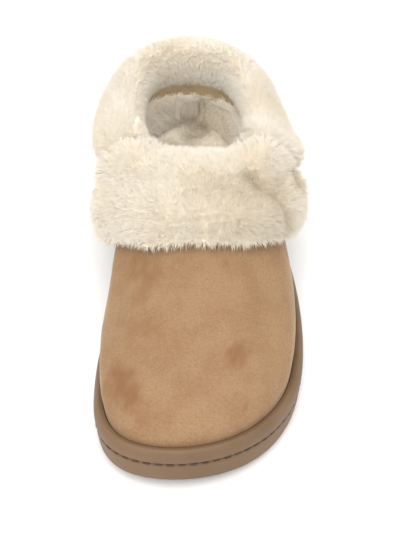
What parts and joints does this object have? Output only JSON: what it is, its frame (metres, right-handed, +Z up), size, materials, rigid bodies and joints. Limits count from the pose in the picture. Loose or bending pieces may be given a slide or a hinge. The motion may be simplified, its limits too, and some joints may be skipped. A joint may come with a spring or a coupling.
{
  "type": "fur-lined clog",
  "caption": "Left fur-lined clog slipper: suede upper, furry cuff folded over the instep, furry heel collar and a moulded rubber sole.",
  "frame": {"origin": "on the floor under the centre of the shoe's bounding box", "axes": "+Y from the toe towards the heel, +X towards the shoe's outer (little toe) side, +Z up"},
  "size_m": [0.1184, 0.2578, 0.0926],
  "materials": {
    "sole_rubber": "matte moulded tan rubber",
    "upper_suede": "napped tan microsuede",
    "lining_fleece": "short beige fleece",
    "cuff_fur": "deep cream pile",
    "collar_fur": "deep cream pile"
  },
  "bodies": {
    "root": {"outsole": "sole_rubber", "upper": "upper_suede", "insole": "lining_fleece", "front_cuff": "cuff_fur", "heel_collar": "collar_fur"}
  },
  "joints": []
}
